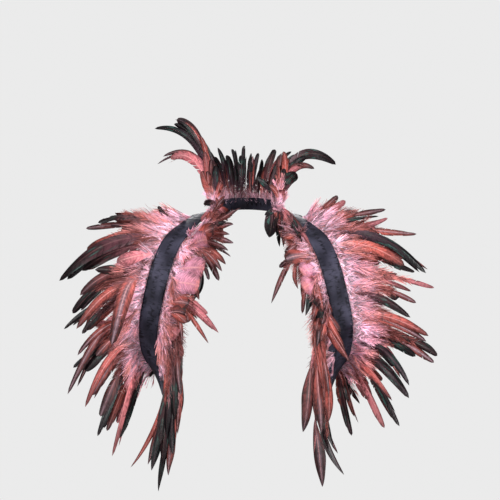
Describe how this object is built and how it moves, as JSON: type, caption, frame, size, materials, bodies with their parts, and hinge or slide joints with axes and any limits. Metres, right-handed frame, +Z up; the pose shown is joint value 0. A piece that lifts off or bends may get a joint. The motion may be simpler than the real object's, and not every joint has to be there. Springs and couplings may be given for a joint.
{
  "type": "feather cape",
  "caption": "Worn shoulder cape of black satin arm loops and a neck band, edged with pink and rust cock-feather fringe and a standing feather collar.",
  "frame": {"origin": "middle of the neck, level with the tops of the shoulders where the arm loops rest", "axes": "+Z up, the wearer faces -Y, +X is the wearer's left"},
  "size_m": [0.6, 0.2436, 0.5965],
  "materials": {
    "satin_ribbon": "black satin ribbon",
    "feather": "dyed cock feathers, pink down to rust and dark tips"
  },
  "bodies": {
    "root": {"neck_band": "satin_ribbon", "arm_band_right": "satin_ribbon", "arm_band_left": "satin_ribbon", "shoulder_fringe_right": "feather", "shoulder_fringe_left": "feather", "chest_fringe_right": "feather", "chest_fringe_left": "feather", "collar_fringe": "feather"}
  },
  "joints": []
}
